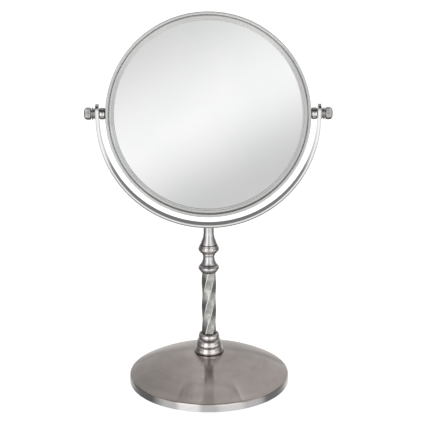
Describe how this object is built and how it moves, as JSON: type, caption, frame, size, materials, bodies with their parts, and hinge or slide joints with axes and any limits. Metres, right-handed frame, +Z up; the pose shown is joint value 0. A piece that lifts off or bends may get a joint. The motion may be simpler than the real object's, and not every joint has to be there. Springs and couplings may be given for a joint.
{
  "type": "vanity mirror",
  "caption": "Table-top swivel vanity mirror: round double-sided head in a U-shaped yoke with thumb knobs, on a turned and twisted stem and a weighted domed base.",
  "frame": {"origin": "centre of the base pad's underside, on the surface that the mirror stands on", "axes": "+Z up along the stem; the flat mirror faces -Y; +X to the right seen from the front, along the pivot axis"},
  "size_m": [0.2494, 0.1692, 0.3872],
  "materials": {
    "satin_nickel": "satin nickel plate with fine turning lines",
    "brushed_rim": "satin nickel plate, softly brushed around the ring",
    "bright_nickel": "polished nickel plate",
    "knob_nickel": "satin nickel with a fine straight knurl",
    "mirror_glass": "silvered float glass",
    "zinc_steel": "bright zinc plate",
    "cast_iron": "as cast, lightly oiled",
    "pad_foam": "closed-cell foam, matt",
    "moulded_core": "moulded, matt",
    "card_board": "plain grey-brown board",
    "slip_plastic": "natural nylon"
  },
  "bodies": {
    "stand": {"base_shell": "satin_nickel", "base_weight": "cast_iron", "base_pad": "pad_foam", "tie_rod": "zinc_steel", "rod_nut": "zinc_steel", "rod_washer": "zinc_steel", "foot_collar": "satin_nickel", "twisted_column": "satin_nickel", "stem_turning": "satin_nickel", "yoke": "bright_nickel", "yoke_screw": "zinc_steel"},
    "head": {"rim_band": "brushed_rim", "front_bezel": "brushed_rim", "rear_bezel": "brushed_rim", "front_glass": "mirror_glass", "rear_glass": "mirror_glass", "core_ring": "moulded_core", "backing_board": "card_board", "front_tape": "pad_foam", "rear_tape": "pad_foam", "left_boss": "zinc_steel", "right_boss": "zinc_steel", "left_spacer": "bright_nickel", "right_spacer": "bright_nickel", "left_slip_washer": "slip_plastic", "right_slip_washer": "slip_plastic"},
    "left_washer": {"left_outer_washer": "satin_nickel"},
    "right_washer": {"right_outer_washer": "satin_nickel"},
    "left_thumb_knob": {"left_pivot_screw": "zinc_steel", "left_knob": "knob_nickel"},
    "right_thumb_knob": {"right_pivot_screw": "zinc_steel", "right_knob": "knob_nickel"}
  },
  "joints": [
    {"name": "head_tilt", "type": "hinge", "parent": "stand", "child": "head", "pos_m": [0, 0, 0.2877], "axis": [1, 0, 0], "continuous": true},
    {"name": "left_knob_travel", "type": "slide", "parent": "head", "child": "left_washer", "axis": [-1, 0, 0], "range_m": [0, 0.0015]},
    {"name": "left_knob_turn", "type": "hinge", "parent": "left_washer", "child": "left_thumb_knob", "pos_m": [0, 0, 0.2877], "axis": [-1, 0, 0], "range_deg": [0, 720]},
    {"name": "right_knob_travel", "type": "slide", "parent": "head", "child": "right_washer", "axis": [1, 0, 0], "range_m": [0, 0.0015]},
    {"name": "right_knob_turn", "type": "hinge", "parent": "right_washer", "child": "right_thumb_knob", "pos_m": [0, 0, 0.2877], "axis": [1, 0, 0], "range_deg": [0, 720]}
  ],
  "couplings": [
    {"joint": "left_knob_travel", "follows": "left_knob_turn", "m_per_rad": 0.00011141},
    {"joint": "right_knob_travel", "follows": "right_knob_turn", "m_per_rad": 0.00011141}
  ]
}
